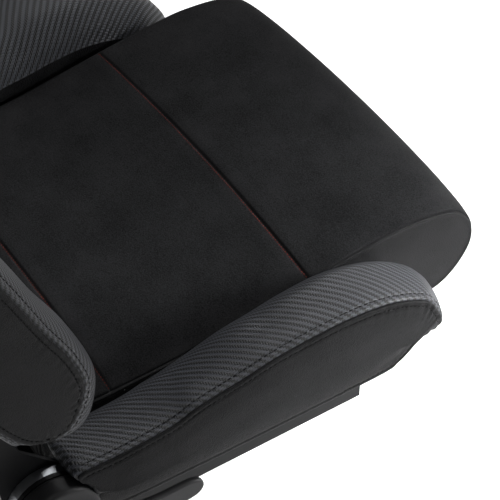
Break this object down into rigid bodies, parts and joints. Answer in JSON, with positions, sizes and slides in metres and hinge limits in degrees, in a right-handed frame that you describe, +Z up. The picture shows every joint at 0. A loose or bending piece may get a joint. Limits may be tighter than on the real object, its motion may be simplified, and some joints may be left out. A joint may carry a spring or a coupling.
{
  "type": "reclining racing seat",
  "caption": "Reclining sport bucket seat on slide rails, with suede centre pads, carbon-look vinyl bolsters, harness slots, recliner levers and a slide release bar.",
  "frame": {"origin": "middle of the seat's footprint, on the plane that the lower rails stand on, at the rest pose", "axes": "+Z up, the seat faces -Y, +X towards the occupant's left"},
  "size_m": [0.575, 0.836, 0.8387],
  "materials": {
    "suede": "matte",
    "carbon_vinyl": "satin",
    "trim_vinyl": "satin",
    "black_plastic": "satin",
    "black_steel": "satin",
    "zinc_steel": "satin"
  },
  "bodies": {
    "rails": {"lower_rail_left": "zinc_steel", "lower_rail_right": "zinc_steel"},
    "seat_base": {"cushion_bolster_left": "carbon_vinyl", "cushion_bolster_right": "carbon_vinyl", "cushion_center_pad": "suede", "cushion_spring_1": "zinc_steel", "cushion_spring_2": "zinc_steel", "cushion_spring_3": "zinc_steel", "cushion_spring_4": "zinc_steel", "front_cross_member": "black_steel", "front_seat_pan": "black_steel", "latch_bracket_left": "black_steel", "latch_bracket_right": "black_steel", "rear_cross_member": "black_steel", "recliner_cover_left": "black_plastic", "recliner_cover_right": "black_plastic", "recliner_disc_left": "zinc_steel", "recliner_disc_right": "zinc_steel", "recliner_lower_plate_left": "black_steel", "recliner_lower_plate_right": "black_steel", "side_frame_left": "black_steel", "side_frame_right": "black_steel", "upper_rail_left": "zinc_steel", "upper_rail_right": "zinc_steel"},
    "backrest": {"back_bolster_left": "carbon_vinyl", "back_bolster_right": "carbon_vinyl", "back_center_pad": "suede", "back_cross_tube_lower": "black_steel", "back_cross_tube_middle": "black_steel", "back_cross_tube_upper": "black_steel", "back_frame_top_tube": "black_steel", "back_frame_tube_left": "black_steel", "back_frame_tube_right": "black_steel", "back_rear_cover": "trim_vinyl", "back_spring_1": "zinc_steel", "back_spring_2": "zinc_steel", "back_spring_3": "zinc_steel", "back_upper_pad": "suede", "harness_bezel_left": "black_plastic", "harness_bezel_right": "black_plastic", "headrest_pad": "suede", "recliner_upper_plate_left": "black_steel", "recliner_upper_plate_right": "black_steel", "shoulder_bolster_left": "carbon_vinyl", "shoulder_bolster_right": "carbon_vinyl"},
    "recline_release": {"recliner_lever_left": "black_plastic", "recliner_lever_right": "black_plastic", "recliner_sync_rod": "zinc_steel"},
    "slide_release": {"release_arm_left": "black_steel", "release_arm_right": "black_steel", "release_bar": "black_plastic"}
  },
  "joints": [
    {"name": "seat_slide", "type": "slide", "parent": "rails", "child": "seat_base", "axis": [0, -1, 0], "range_m": [-0.1, 0.1]},
    {"name": "backrest_recline", "type": "hinge", "parent": "seat_base", "child": "backrest", "pos_m": [0, 0.06803, 0.11], "axis": [-1, 0, 0], "range_deg": [-25, 45]},
    {"name": "recline_release", "type": "hinge", "parent": "seat_base", "child": "recline_release", "pos_m": [0, 0.06803, 0.11], "axis": [-1, 0, 0], "range_deg": [0, 25], "stiffness_Nm_per_rad": 3, "springref_deg": -20.05},
    {"name": "slide_release", "type": "hinge", "parent": "seat_base", "child": "slide_release", "pos_m": [0, -0.21197, 0.021], "axis": [-1, 0, 0], "range_deg": [0, 8], "stiffness_Nm_per_rad": 8, "springref_deg": -17.19}
  ]
}
